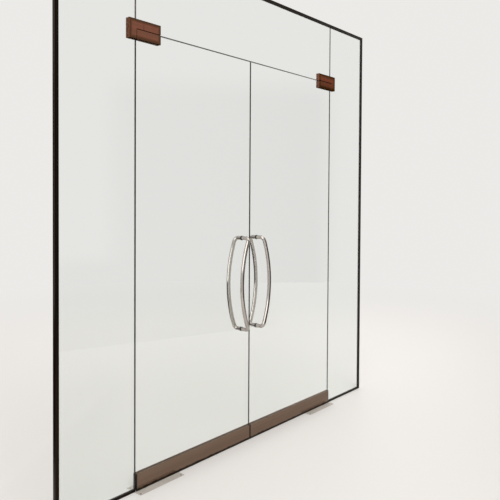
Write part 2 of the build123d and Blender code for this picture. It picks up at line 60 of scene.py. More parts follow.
# Steps of a gasket lip's bow and of the floor's outline
bow_steps = 8
floor_steps = 96


# Settings

def length(name, description, default):
    return FloatProperty(name=name, description=description, default=default, min=0, unit="LENGTH")


def number(name, description, default, top=1.0):
    return FloatProperty(name=name, description=description, default=default, min=0, max=top)


def angle(name, description, degrees):
    return FloatProperty(name=name, description=description, default=radians(degrees), unit="ROTATION")


def colour(name, description, default):
    return FloatVectorProperty(
        name=name, description=description, default=default, min=0, max=1, subtype="COLOR")


def place(name, description, default):
    return FloatVectorProperty(name=name, description=description, default=default, subtype="XYZ")


class EntranceFinishes(PropertyGroup):
    """Colours of the entrance's finishes."""
    pane_tint: colour("Pane tint", "Tint of a pane seen square on", (0.93, 0.955, 0.945))
    pane_shade: colour("Pane shade", "Lamp light that each pane face lets through", (0.95, 0.965, 0.955))
    edge_glass: colour("Pane edge", "Depth of a polished pane edge", (0.008, 0.0055, 0.004))
    edge_glow: colour("Pane edge glow", "Lighter streaks in a pane edge", (0.022, 0.016, 0.012))
    edge_arris: colour("Pane arris", "Ground bevel along a pane edge", (0.055, 0.050, 0.044))
    patch_bronze: colour("Patch bronze", "Polished plates of the patches", (0.285, 0.094, 0.058))
    patch_shade: colour("Patch bronze shade", "Darker patina on the patches", (0.170, 0.086, 0.056))
    rail_bronze: colour("Rail bronze", "Covers of the bottom rails", (0.215, 0.148, 0.108))
    rail_shade: colour("Rail bronze shade", "Darker patina on the rail covers", (0.185, 0.122, 0.088))
    steel: colour("Pull steel", "Polished tube of the pulls", (0.52, 0.485, 0.455))
    steel_shade: colour("Pull steel shade", "Buffing haze on the pulls", (0.46, 0.425, 0.395))
    plate_steel: colour("Cover plate", "Scuffed satin steel of the cover plates", (0.66, 0.62, 0.57))
    rim: colour("Patch rim", "Dark oxide left along the patches' edges", (0.098, 0.049, 0.027))
    channel: colour("Channel", "Dark anodised channels", (0.014, 0.009, 0.005))
    channel_shade: colour("Channel shade", "Die lines in the channels", (0.026, 0.018, 0.012))
    rubber: colour("Rubber", "Gaskets and gasket lips", (0.018, 0.017, 0.016))
    rail_rubber: colour("Rail rubber", "Glazing gaskets of the rails", (0.085, 0.058, 0.040))
    # Painted shade: near black along the foot of the rails, close to the floor
    foot_shade: colour("Painted foot shade", "Painted shade on the rails close to the floor", (0.016, 0.008, 0.004))
    dust: colour("Dust", "Dust that settles on upward faces", (0.42, 0.39, 0.35))
    cap: colour("Rail cap", "Moulded end caps of the rails", (0.008, 0.0055, 0.004))
    liner: colour("Patch liner", "Brown gaskets between plates and glass", (0.13, 0.065, 0.042))
    sealant: colour("Sealant", "Joint seals beside the overpanel", (0.13, 0.105, 0.105))
    aluminium: colour("Aluminium", "Mill finish of cores and extrusions", (0.62, 0.61, 0.60))
    zinc: colour("Zinc", "Galvanised cement boxes", (0.46, 0.47, 0.48))
    paint: colour("Closer paint", "Painted closer castings", (0.10, 0.105, 0.11))


class EntranceWear(PropertyGroup):
    """How drawing, moulding, handling and dust change a finish."""
    edge_wear: number("Edge wear", "How far a metal's rounded edges turn brighter", 0.35)
    edge_lift: number("Edge brightness", "Brightness of a worn edge, as a multiple", 1.6, 4.0)
    band_shade: number("Band shade", "Brightness of the darker bands of plain metals, as a multiple", 0.85)
    line_gloss: number("Line gloss", "Roughness of the brightest drawn line, as a multiple", 0.8, 2.0)
    line_haze: number("Line haze", "Roughness of the dullest drawn line, as a multiple", 1.25, 2.0)
    speckle_gloss: number("Speckle gloss", "Roughness of the brightest speckles, as a multiple", 0.85, 2.0)
    speckle_haze: number("Speckle haze", "Roughness of the dullest speckles, as a multiple", 1.15, 2.0)
    scratch_haze: number("Scratch haze", "Roughness that a scratch adds", 0.15)
    dust_haze: number("Dust haze", "Roughness that full dust adds", 0.4)


class EntranceSizes(PropertyGroup):
    """Sizes of the dressing's own details."""
    lip_height: length("Lip height", "Gasket lip above the channel mouth", 0.0013)
    lip_root: length("Lip root", "Gasket lip sunk in its channel", 0.0006)
    lip_crease: angle("Lip crease", "Corners of the lip sharper than this stay sharp", 50)
    edge_round: length("Edge round", "Softened edge on metal and moulded parts", 0.0007)
    rim_width: length("Rim width", "Dark rim round the patches", 0.022)
    # Heights of the painted shade along the rails' foot
    foot_shade_top: length("Foot shade top", "Height at which the painted shade begins on the rails", 0.020)
    foot_shade_full: length("Foot shade full", "Height below which it covers the rails", 0.012)


class StudioSettings(PropertyGroup):
    """Floor, light and camera of the studio."""
    floor_radius: length("Floor radius", "Reach of the floor", 60.0)
    floor_drop: length("Floor drop", "Floor below the closers' cover plates", 0.0004)
    fade_start: length("Fade start", "Distance at which the floor begins to fade", 1.8)
    fade_end: length("Fade end", "Distance at which the floor has become backdrop", 7.5)
    floor_tone: colour("Floor", "Colour of the floor", (0.81, 0.795, 0.78))
    floor_mottle: number("Floor mottle", "How far the floor's tone strays, each way", 0.015)
    pocket_gap: length("Pocket gap", "Open joint between a cover plate and the floor", 0.0016)
    pocket_lip: length("Pocket lip", "Ledge under the edge of a cover plate", 0.0025)
    pocket_depth: length("Pocket depth", "Depth of the open joint", 0.0045)
    pocket_tone: colour("Pocket", "Mortar in the open joints", (0.035, 0.030, 0.026))
    backdrop_tone: colour("Backdrop", "Colour of the backdrop", (0.84, 0.825, 0.805))
    ambience: number("Ambience", "Backdrop's strength as a lamp", 0.55)
    lamp_tone: colour("Lamps", "Colour of the lamps", (1.0, 0.975, 0.945))
    card_tone: colour("Cards", "Colour of the reflection cards", (1.0, 0.975, 0.95))
    card_melt: number("Card melt", "Soft border of a reflection card, as a share of it", 0.14, 0.5)
    key_strength: number("Key strength", "Strength of the broad overhead light", 2.1, 10.0)
    key_spread: angle("Key spread", "Apparent width of the broad overhead light", 50)
    lens: number("Lens", "Focal length in millimetres", 41.68, 200.0)
    frame_drop: number("Frame drop", "Picture frame below the lens axis, in widths", 0.075)
    eye: place("Eye", "Place of the camera", (-2.8058, -2.4580, 1.5468))
    eye_turn: angle("Eye turn", "Aim of the camera, right of +Y", 48.8447)
    eye_dip: angle("Eye dip", "Aim of the camera, below the horizon", 1.1918)
    eye_roll: angle("Eye roll", "Tilt of the camera about its aim", 0.3209)


# Shader helpers

# Layout of the nodes in the editor
node_columns = 9
node_width, node_height = 180, 260
# Sockets of a Mix node that are in use when it mixes colours
mix_factor, mix_first, mix_second = 0, 6, 7
mix_result = 2


def node(tree, kind, inputs=(), **settings):
    """Adds a shader node. An input given as a socket is linked, and a plain value is set."""
    made = tree.nodes.new("ShaderNode" + kind)
    row, column = divmod(len(tree.nodes), node_columns)
    made.location = (node_width * column, -node_height * row)
    for name, value in settings.items():
        setattr(made, name, value)
    for name, value in dict(inputs).items():
        if isinstance(value, bpy.types.NodeSocket):
            tree.links.new(value, made.inputs[name])
        else:
            made.inputs[name].default_value = value
    return made


def rgba(tone):
    """A colour with full opacity, as shader sockets take it."""
    return (*tone, 1.0)


def scaled(tone, factor):
    """A colour made brighter or darker by a factor."""
    return [min(1.0, channel * factor) for channel in tone]


def spread(tree, value, low, high, to_low=0.0, to_high=1.0, curve="LINEAR"):
    """Spreads a value's range low to high over to_low to to_high."""
    inputs = {"Value": value, "From Min": low, "From Max": high, "To Min": to_low, "To Max": to_high}
    return node(tree, "MapRange", inputs, interpolation_type=curve).outputs["Result"]


def arithmetic(tree, operation, first, second=0.0):
    """The result of a sum on one or two values."""
    return node(tree, "Math", {0: first, 1: second}, operation=operation).outputs["Value"]


def noise(tree, at, scale, detail, **more):
    """Cloudy noise over the coordinates given by a socket."""
    inputs = {"Vector": at, "Scale": scale, "Detail": detail, **more}
    return node(tree, "TexNoise", inputs).outputs["Fac"]


def blended(tree, factor, first, second):
    """Blends two colours, each a socket or a plain colour, by a factor that varies over the surface."""
    inputs = {mix_factor: factor}
    for socket, tone in ((mix_first, first), (mix_second, second)):
        inputs[socket] = tone if isinstance(tone, bpy.types.NodeSocket) else rgba(tone)
    return node(tree, "Mix", inputs, data_type="RGBA").outputs[mix_result]


def seen_directly(tree):
    """1 for rays from the camera, from reflections and through glass, and 0 for the rest."""
    path = node(tree, "LightPath").outputs
    seen = arithmetic(tree, "MAXIMUM", path["Is Camera Ray"], path["Is Glossy Ray"])
    return arithmetic(tree, "MAXIMUM", seen, path["Is Transmission Ray"])


def effect(name, inputs, outputs, build):
    """A shader node group, built once. Inputs are (name, kind, default), and outputs (name, kind)."""
    group = bpy.data.node_groups.get(name)
    if group:
        return group
    group = bpy.data.node_groups.new(name, "ShaderNodeTree")
    for label, kind, default in inputs:
        socket = group.interface.new_socket(label, in_out="INPUT", socket_type="NodeSocket" + kind)
        socket.default_value = default
    for label, kind in outputs:
        group.interface.new_socket(label, in_out="OUTPUT", socket_type="NodeSocket" + kind)
    given = group.nodes.new("NodeGroupInput").outputs
    result = group.nodes.new("NodeGroupOutput")
    for label, socket in build(group, given).items():
        group.links.new(socket, result.inputs[label])
    return group


def placed(tree, group, **values):
    """Places an effect in a material with its own values, and gives the effect's outputs."""
    made = tree.nodes.new("ShaderNodeGroup")
    made.node_tree = group
    for name, value in values.items():
        made.inputs[name].default_value = value
    return made.outputs


# Effects shared by the finishes

# How far the inner border of the rim and the upper border of the painted shade at the rails' foot wander,
# each way
rim_wander = 0.0015
# Wander of the painted shade at the rails' foot
foot_shade_wander = 0.003
# Share of the rim's width that is fully dark, and share of its darkness left on a patch's ends
rim_core = 0.4
rim_on_ends = 0.3


def drawn_grain():
    """Fine lines left by drawing, rolling or brushing."""
    def build(tree, given):
        at = node(tree, "TexCoord").outputs["Object"]
        stretched = node(tree, "VectorMath", {0: at, 1: given["Pitch"]}, operation="MULTIPLY").outputs[0]
        lines = noise(tree, stretched, scale=1.0, detail=5.0, Roughness=0.62)
        broad = noise(tree, stretched, scale=0.13, detail=2.0)
        return {"Line": spread(tree, lines, 0.32, 0.68), "Drift": spread(tree, broad, 0.35, 0.65)}
    inputs = [("Pitch", "Vector", (8.0, 8.0, 900.0))]
    return effect("Drawn Grain", inputs, [("Line", "Float"), ("Drift", "Float")], build)


def handling_marks():
    """Soft smudges and wiping marks, with fine scratches in them."""
    def build(tree, given):
        at = node(tree, "TexCoord").outputs["Object"]
        cloud = noise(tree, at, scale=given["Scale"], detail=3.0, Distortion=0.6)
        hairs = node(tree, "TexVoronoi", {"Vector": at, "Scale": 240.0}, feature="DISTANCE_TO_EDGE")
        smudge = spread(tree, cloud, 0.45, 0.72)
        hair = spread(tree, hairs.outputs["Distance"], 0.0, 0.05, 1.0, 0.0)
        return {"Smudge": smudge, "Scratch": arithmetic(tree, "MULTIPLY", hair, smudge)}
    outputs = [("Smudge", "Float"), ("Scratch", "Float")]
    return effect("Handling Marks", [("Scale", "Float", 9.0)], outputs, build)


def softened_edges():
    """Mask and normal of edges that handling and polishing have rounded."""
    def build(tree, given):
        rounded = node(tree, "Bevel", {"Radius": given["Radius"]}, samples=6).outputs["Normal"]
        flat = node(tree, "NewGeometry").outputs["Normal"]
        likeness = node(tree, "VectorMath", {0: rounded, 1: flat}, operation="DOT_PRODUCT")
        return {"Edge": spread(tree, likeness.outputs["Value"], 0.995, 0.90), "Normal": rounded}
    outputs = [("Edge", "Float"), ("Normal", "Vector")]
    return effect("Softened Edges", [("Radius", "Float", 0.001)], outputs, build)


def cast_speckle():
    """Fine pitting and blotches of castings and moulded rubber."""
    def build(tree, given):
        at = node(tree, "TexCoord").outputs["Object"]
        pits = noise(tree, at, scale=given["Scale"], detail=4.0, Roughness=0.7)
        blotches = noise(tree, at, scale=14.0, detail=2.0)
        return {"Pits": spread(tree, pits, 0.3, 0.7), "Blotch": spread(tree, blotches, 0.35, 0.65)}
    outputs = [("Pits", "Float"), ("Blotch", "Float")]
    return effect("Cast Speckle", [("Scale", "Float", 900.0)], outputs, build)


def settled_dust():
    """Dust on upward faces."""
    def build(tree, given):
        coordinates = node(tree, "TexCoord").outputs
        up = node(tree, "SeparateXYZ", {0: coordinates["Normal"]}).outputs["Z"]
        patchy = noise(tree, coordinates["Object"], scale=60.0, detail=5.0)
        lies, thick = spread(tree, up, 0.5, 0.95), spread(tree, patchy, 0.40, 0.75)
        film = arithmetic(tree, "MULTIPLY", lies, thick)
        return {"Dust": arithmetic(tree, "MULTIPLY", film, given["Amount"])}
    return effect("Settled Dust", [("Amount", "Float", 0.3)], [("Dust", "Float")], build)


def rim_patina():
    """Darker border round a patch, uneven as oxide is, and fainter on the patch's ends.

    The patch reaches from Inner to Outer, off the entrance's middle, and from Foot to Top in height.
    """
    def build(tree, given):
        coordinates = node(tree, "TexCoord").outputs
        at = coordinates["Object"]
        across = node(tree, "SeparateXYZ", {0: at}).outputs
        out, height = arithmetic(tree, "ABSOLUTE", across["X"]), across["Z"]
        inward = arithmetic(tree, "SUBTRACT", out, given["Inner"])
        for end, start in ((given["Outer"], out), (height, given["Foot"]), (given["Top"], height)):
            inward = arithmetic(tree, "MINIMUM", inward, arithmetic(tree, "SUBTRACT", end, start))
        clouds = noise(tree, at, scale=60.0, detail=3.0)
        wander = spread(tree, clouds, 0.3, 0.7, -rim_wander, rim_wander)
        full = arithmetic(tree, "MULTIPLY", given["Width"], rim_core)
        border = spread(tree, arithmetic(tree, "ADD", inward, wander), given["Width"], full)
        sideways = node(tree, "SeparateXYZ", {0: coordinates["Normal"]}).outputs["X"]
        kept = spread(tree, arithmetic(tree, "ABSOLUTE", sideways), 0.5, 0.9, 1.0, rim_on_ends)
        return {"Rim": arithmetic(tree, "MULTIPLY", border, kept)}
    measures = [(name, "Float", 0.0) for name in ("Inner", "Outer", "Foot", "Top")]
    return effect("Rim Patina", [("Width", "Float", 0.022), *measures], [("Rim", "Float")], build)


def painted_foot_shade():
    """Painted shade that darkens a rail towards the floor."""
    def build(tree, given):
        at = node(tree, "TexCoord").outputs["Object"]
        height = node(tree, "SeparateXYZ", {0: at}).outputs["Z"]
        clumps = noise(tree, at, scale=45.0, detail=4.0)
        wander = spread(tree, clumps, 0.3, 0.7, -foot_shade_wander, foot_shade_wander)
        uneven = arithmetic(tree, "ADD", height, wander)
        return {"Foot Shade": spread(tree, uneven, given["Top"], given["Full"])}
    inputs = [("Top", "Float", 0.020), ("Full", "Float", 0.012)]
    return effect("Painted Shade Near Floor", inputs, [("Foot Shade", "Float")], build)


def pane_zones():
    """Masks of a pane's edge and of the ground arris beside it, from the pane lying in XZ."""
    def build(tree, given):
        normal = node(tree, "TexCoord").outputs["Normal"]
        square = arithmetic(tree, "ABSOLUTE", node(tree, "SeparateXYZ", {0: normal}).outputs["Y"])
        edge = spread(tree, square, 0.90, 0.80)
        slanted = spread(tree, square, 0.15, 0.35)
        return {"Edge": edge, "Arris": arithmetic(tree, "MULTIPLY", edge, slanted)}
    return effect("Pane Zones", [], [("Edge", "Float"), ("Arris", "Float")], build)


# Finishes

def new_material(name):
    """A fresh material: its tree, its Principled shader and its output."""
    material = bpy.data.materials.new(name)
    material.use_nodes = True
    tree = material.node_tree
    return material, tree, tree.nodes["Principled BSDF"], tree.nodes["Material Output"]


def foot_shade_mask(tree):
    """Where painted shade darkens a rail close to the floor."""
    sizes = bpy.context.scene.entrance_sizes
    return placed(tree, painted_foot_shade(), Top=sizes.foot_shade_top, Full=sizes.foot_shade_full)["Foot Shade"]


def rim_mask(tree):
    """Where oxide darkens a patch."""
    return placed(
        tree, rim_patina(), Width=bpy.context.scene.entrance_sizes.rim_width, Inner=patch_low.x,
        Outer=patch_high.x, Foot=patch_low.z, Top=patch_high.z)["Rim"]


def add_relief(tree, shader, height, depth, normal):
    """Gives a shader fine relief of a depth, on top of a normal."""
    inputs = {"Strength": 1.0, "Distance": depth, "Height": height, "Normal": normal}
    tree.links.new(node(tree, "Bump", inputs).outputs["Normal"], shader.inputs["Normal"])


def metal_finish(name, base, shade, *, roughness, pitch, depth, smudge_scale=9.0, smudge=0.12,
                 dust=0.15, metallic=1.0, rimmed=False, foot_shaded=False):
    """Metal with drawn lines, handling marks, dust and rounded, brighter edges.

    A rimmed metal darkens towards the patches' border, and one with painted foot shade darkens close to
    the floor.
    """
    scene = bpy.context.scene
    looks, wear = scene.entrance_finishes, scene.entrance_wear
    material, tree, shader, _ = new_material(name)
    grain = placed(tree, drawn_grain(), Pitch=pitch)
    marks = placed(tree, handling_marks(), Scale=smudge_scale)
    edges = placed(tree, softened_edges(), Radius=scene.entrance_sizes.edge_round)
    film = placed(tree, settled_dust(), Amount=dust)["Dust"]
    tone = blended(tree, grain["Drift"], base, shade)
    # Painted shade: the surface turns near black towards the floor
    if foot_shaded:
        tone = blended(tree, foot_shade_mask(tree), tone, looks.foot_shade)
    if rimmed:
        tone = blended(tree, rim_mask(tree), tone, looks.rim)
        shader.inputs["Specular Tint"].default_value = rgba(looks.rim)
    worn = arithmetic(tree, "MULTIPLY", edges["Edge"], wear.edge_wear)
    tone = blended(tree, worn, tone, scaled(base, wear.edge_lift))
    tree.links.new(blended(tree, film, tone, looks.dust), shader.inputs["Base Color"])
    shader.inputs["Metallic"].default_value = metallic
    glossy, hazy = roughness * wear.line_gloss, roughness * wear.line_haze
    dull = spread(tree, grain["Line"], 0.0, 1.0, glossy, hazy)
    hazes = ((marks["Smudge"], smudge), (marks["Scratch"], wear.scratch_haze), (film, wear.dust_haze))
    for mask, haze in hazes:
        dull = arithmetic(tree, "ADD", dull, arithmetic(tree, "MULTIPLY", mask, haze))
    tree.links.new(dull, shader.inputs["Roughness"])
    add_relief(tree, shader, grain["Line"], depth, edges["Normal"])
    return material


def moulded_finish(name, base, *, roughness, speckle, depth, lift=1.7, dust=0.25, metallic=0.0,
                   sheen=0.5, foot_shaded=False):
    """Rubber, plastic, casting or paint with speckle, lighter blotches and dust, and perhaps painted shade
    close to the floor.
    """
    scene = bpy.context.scene
    looks, wear = scene.entrance_finishes, scene.entrance_wear
    material, tree, shader, _ = new_material(name)
    pitting = placed(tree, cast_speckle(), Scale=speckle)
    edges = placed(tree, softened_edges(), Radius=scene.entrance_sizes.edge_round)
    film = placed(tree, settled_dust(), Amount=dust)["Dust"]
    tone = blended(tree, pitting["Blotch"], base, scaled(base, lift))
    # Painted shade: the surface turns near black towards the floor
    if foot_shaded:
        tone = blended(tree, foot_shade_mask(tree), tone, looks.foot_shade)
    tree.links.new(blended(tree, film, tone, looks.dust), shader.inputs["Base Color"])
    shader.inputs["Metallic"].default_value = metallic
    shader.inputs["Specular IOR Level"].default_value = sheen
    glossy, hazy = roughness * wear.speckle_gloss, roughness * wear.speckle_haze
    tree.links.new(spread(tree, pitting["Pits"], 0.0, 1.0, glossy, hazy), shader.inputs["Roughness"])
    add_relief(tree, shader, pitting["Pits"], depth, edges["Normal"])
    return material


def pane_finish(looks):
    """Clear toughened glass: slightly wavy faces, dark polished edges and a ground arris."""
    material, tree, glass, output = new_material("toughened_glass")
    zones = placed(tree, pane_zones())
    at = node(tree, "TexCoord").outputs["Object"]
    wave = noise(tree, at, scale=2.3, detail=1.0)
    roller = node(tree, "Bump", {"Strength": 1.0, "Distance": 400 * micron, "Height": wave})
    glass.inputs["Base Color"].default_value = rgba(looks.pane_tint)
    glass.inputs["Roughness"].default_value = 0.0
    glass.inputs["IOR"].default_value = 1.5
    glass.inputs["Transmission Weight"].default_value = 1.0
    tree.links.new(roller.outputs["Normal"], glass.inputs["Normal"])

    streaks = spread(tree, noise(tree, at, scale=35.0, detail=3.0), 0.35, 0.65)
    polished = blended(tree, streaks, looks.edge_glass, looks.edge_glow)
    ground = blended(tree, zones["Arris"], polished, looks.edge_arris)
    dull = spread(tree, zones["Arris"], 0.0, 1.0, 0.12, 0.45)
    edge = node(tree, "BsdfPrincipled", {"Base Color": ground, "Roughness": dull, "IOR": 1.2})

    body = node(tree, "MixShader", {0: zones["Edge"], 1: glass.outputs[0], 2: edge.outputs[0]})
    clear = node(tree, "BsdfTransparent", {"Color": rgba(looks.pane_shade)})
    path = node(tree, "LightPath").outputs
    lit = node(tree, "MixShader", {0: path["Is Diffuse Ray"], 1: body.outputs[0], 2: clear.outputs[0]})
    shaded = node(tree, "MixShader", {0: path["Is Shadow Ray"], 1: lit.outputs[0], 2: clear.outputs[0]})
    tree.links.new(shaded.outputs[0], output.inputs["Surface"])
    return material


def floor_finish(studio):
    """Pale floor that fades into the backdrop far from the entrance."""
    material, tree, shader, output = new_material("studio_floor")
    at = node(tree, "TexCoord").outputs["Object"]
    grain = noise(tree, at, scale=55.0, detail=6.0)
    darker = scaled(studio.floor_tone, 1 - studio.floor_mottle)
    lighter = scaled(studio.floor_tone, 1 + studio.floor_mottle)
    tree.links.new(blended(tree, grain, darker, lighter), shader.inputs["Base Color"])
    shader.inputs["Roughness"].default_value = 0.55
    away = node(tree, "VectorMath", {0: at}, operation="LENGTH").outputs["Value"]
    faded = spread(tree, away, studio.fade_start, studio.fade_end, curve="SMOOTHSTEP")
    share = arithmetic(tree, "MULTIPLY", faded, seen_directly(tree))
    far = node(tree, "Emission", {"Color": rgba(studio.backdrop_tone)})
    mixed = node(tree, "MixShader", {0: share, 1: shader.outputs[0], 2: far.outputs[0]})
    tree.links.new(mixed.outputs[0], output.inputs["Surface"])
    return material


def card_finish(name, glow, studio):
    """A reflection card that glows evenly and melts away at its edges."""
    material, tree, shader, output = new_material(name)
    tree.nodes.remove(shader)
    across = node(tree, "SeparateXYZ", {0: node(tree, "TexCoord").outputs["Generated"]}).outputs
    masks = []
    for axis in ("X", "Y"):
        off = arithmetic(tree, "ABSOLUTE", arithmetic(tree, "SUBTRACT", across[axis], 0.5))
        masks.append(spread(tree, off, 0.5, 0.5 - studio.card_melt, curve="SMOOTHSTEP"))
    mask = arithmetic(tree, "MULTIPLY", *masks)
    light = node(tree, "Emission", {"Color": rgba(studio.card_tone), "Strength": glow})
    open_air = node(tree, "BsdfTransparent")
    melted = node(tree, "MixShader", {0: mask, 1: open_air.outputs[0], 2: light.outputs[0]})
    tree.links.new(melted.outputs[0], output.inputs["Surface"])
    return material


def dress(material, *names):
    """Gives CAD nodes a material."""
    for name in names:
        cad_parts[name].material_slots[0].material = material


def both(*names):
    """The names of the left and right node of each kind."""
    return [side + "_" + name for name in names for side in ("left", "right")]


# Operators

class DressPanes(Operator):
    """Glass of the leaves, the sidelights and the overpanel"""
    bl_idname = "entrance.dress_panes"
    bl_label = "Panes"

    def execute(self, context):
        glass = pane_finish(context.scene.entrance_finishes)
        dress(glass, "overpanel_glass", *both("sidelight_glass", "door_glass"))
        return {"FINISHED"}


class DressChannels(Operator):
    """Channels, gaskets, setting blocks and joint seals round the fixed glass"""
    bl_idname = "entrance.dress_channels"
    bl_label = "Channels"

    def execute(self, context):
        looks = context.scene.entrance_finishes
        level = metal_finish(
            "channel_level", looks.channel, looks.channel_shade, roughness=0.34,
            pitch=(6.0, 700.0, 700.0), depth=20 * micron)
        dress(level, "head_channel", *both("floor_channel"))
        upright = metal_finish(
            "channel_upright", looks.channel, looks.channel_shade, roughness=0.34,
            pitch=(700.0, 700.0, 6.0), depth=20 * micron)
        dress(upright, *both("wall_channel"))
        gasket = moulded_finish(
            "gasket_rubber", looks.rubber, roughness=0.62, speckle=1400.0, depth=30 * micron)
        dress(gasket, "channel_gaskets")
        block = moulded_finish(
            "block_rubber", looks.rubber, roughness=0.72, speckle=700.0, depth=60 * micron, lift=2.4)
        dress(block, "setting_blocks")
        seal = moulded_finish(
            "joint_sealant", looks.sealant, roughness=0.30, speckle=220.0, depth=50 * micron, dust=0.1)
        dress(seal, "butt_joint_seals")
        return {"FINISHED"}


class AddGasketLips(Operator):
    """Rounded gasket lips that grip the fixed glass along the channel mouths"""
    bl_idname = "entrance.add_gasket_lips"
    bl_label = "Gasket lips"

    def execute(self, context):
        sizes = context.scene.entrance_sizes
        # Corners of a lip's run in X and Z, each with the way into the opening
        run = [
            (leaf_joint, floor_channel_top, 0, 1),
            (opening_side, floor_channel_top, -1, 1),
            (opening_side, opening_top, -1, -1),
            (-opening_side, opening_top, 1, -1),
            (-opening_side, floor_channel_top, 1, 1),
            (-leaf_joint, floor_channel_top, 0, 1),
        ]
        middle, half = -pane_front + channel_pad / 2, channel_pad / 2
        turns = [pi * step / bow_steps for step in range(bow_steps + 1)]
        bow = [(middle + half * cos(turn), sizes.lip_height * sin(turn)) for turn in turns]
        section = [(middle + half, -sizes.lip_root), *bow, (middle - half, -sizes.lip_root)]
        for side, name in ((-1, "gasket_lip_outside"), (1, "gasket_lip_inside")):
            shape = bmesh.new()
            rings = [
                [shape.verts.new((x + in_x * up, side * out, z + in_z * up)) for out, up in section]
                for x, z, in_x, in_z in run
            ]
            for first, second in zip(rings, rings[1:]):
                for i in range(len(section)):
                    j = (i + 1) % len(section)
                    shape.faces.new((first[i], first[j], second[j], second[i]))
            shape.faces.new(rings[0])
            shape.faces.new(rings[-1][::-1])
            bmesh.ops.recalc_face_normals(shape, faces=shape.faces)
            lip = add_object(name, shape)
            lip.data.shade_smooth()
            lip.data.set_sharp_from_angle(angle=sizes.lip_crease)
            lip.data.materials.append(bpy.data.materials["gasket_rubber"])
            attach(lip, "frame")
        return {"FINISHED"}


class DressPatches(Operator):
    """Corner and top patches, their cores and gaskets, and all screws, pivots, arms and spindles"""
    bl_idname = "entrance.dress_patches"
    bl_label = "Patches"

    def execute(self, context):
        looks = context.scene.entrance_finishes
        plates = both("corner_patch_front", "corner_patch_back", "top_patch_front", "top_patch_back")
        polished = metal_finish(
            "polished_patch", looks.patch_bronze, looks.patch_shade, roughness=0.085,
            pitch=(9.0, 9.0, 300.0), depth=2 * micron, smudge_scale=26.0, smudge=0.10, rimmed=True)
        dress(polished, *plates)
        cast = moulded_finish(
            "core_casting", looks.aluminium, roughness=0.42, speckle=600.0, depth=80 * micron,
            lift=1.15, metallic=1.0)
        dress(cast, *both("corner_patch_core", "top_patch_core"))
        liner = moulded_finish(
            "patch_liner", looks.liner, roughness=0.68, speckle=1200.0, depth=30 * micron, lift=1.3)
        dress(liner, "corner_patch_gaskets", *both("top_patch_gaskets"))
        turned = metal_finish(
            "turned_steel", looks.steel, looks.steel_shade, roughness=0.20,
            pitch=(900.0, 40.0, 900.0), depth=4 * micron, smudge=0.05)
        dress(turned, "corner_patch_screws", "closer_screws", *both("leaf_screws"))
        ground = metal_finish(
            "ground_steel", looks.steel_shade, looks.steel, roughness=0.16,
            pitch=(40.0, 40.0, 1500.0), depth=4 * micron, smudge=0.06)
        dress(ground, *both("top_pivot", "bottom_arm", "closer_spindle"))
        return {"FINISHED"}


class DressRails(Operator):
    """Bottom rails of the leaves"""
    bl_idname = "entrance.dress_rails"
    bl_label = "Bottom rails"

    def execute(self, context):
        looks, wear = context.scene.entrance_finishes, context.scene.entrance_wear
        # The rail covers get painted shade close to the floor
        cover = metal_finish(
            "rail_cover", looks.rail_bronze, looks.rail_shade, roughness=0.09,
            pitch=(3.0, 900.0, 900.0), depth=3 * micron, smudge_scale=7.0, dust=0.25, foot_shaded=True)
        dress(cover, *both("rail_cover_front", "rail_cover_back"))
        cap = moulded_finish(
            "rail_cap", looks.cap, roughness=0.55, speckle=800.0, depth=30 * micron, sheen=0.2)
        dress(cap, *both("rail_end_caps"))
        drawn = metal_finish(
            "mill_aluminium", looks.aluminium, scaled(looks.aluminium, wear.band_shade), roughness=0.36,
            pitch=(3.0, 700.0, 700.0), depth=20 * micron)
        dress(drawn, *both("rail_core"))
        # The rail gaskets get the same painted shade close to the floor
        seal = moulded_finish(
            "rail_rubber", looks.rail_rubber, roughness=0.60, speckle=1200.0, depth=30 * micron,
            dust=0.1, sheen=0.2, foot_shaded=True)
        dress(seal, *both("rail_gasket"))
        return {"FINISHED"}


class DressPulls(Operator):
    """Bow pulls with their washers and bushes"""
    bl_idname = "entrance.dress_pulls"
    bl_label = "Pulls"

    def execute(self, context):
        looks = context.scene.entrance_finishes
        tube = metal_finish(
            "polished_tube", looks.steel, looks.steel_shade, roughness=0.05, pitch=(60.0, 60.0, 60.0),
            depth=1 * micron, smudge_scale=18.0, smudge=0.06, dust=0.04)
        dress(tube, *both("pull_outside", "pull_inside"))
        nylon = moulded_finish(
            "black_nylon", looks.rubber, roughness=0.36, speckle=900.0, depth=20 * micron, dust=0.1)
        dress(nylon, *both("pull_washers"))
        return {"FINISHED"}


class DressClosers(Operator):
    """Floor closers in their cement boxes, with the cover plates"""
    bl_idname = "entrance.dress_closers"
    bl_label = "Floor closers"

    def execute(self, context):
        looks, wear = context.scene.entrance_finishes, context.scene.entrance_wear
        plate = metal_finish(
            "brushed_cover", looks.plate_steel, scaled(looks.plate_steel, wear.band_shade),
            roughness=0.42, pitch=(5.0, 1100.0, 40.0), depth=10 * micron, smudge_scale=14.0, smudge=0.15,
            dust=0.2, metallic=0.25)
        dress(plate, *both("closer_cover"))
        painted = moulded_finish(
            "closer_paint", looks.paint, roughness=0.40, speckle=260.0, depth=120 * micron, lift=1.25)
        dress(painted, *both("closer_body"))
        dipped = moulded_finish(
            "dipped_zinc", looks.zinc, roughness=0.45, speckle=90.0, depth=60 * micron,
            lift=1.35, metallic=1.0)
        dress(dipped, *both("closer_box"))
        return {"FINISHED"}


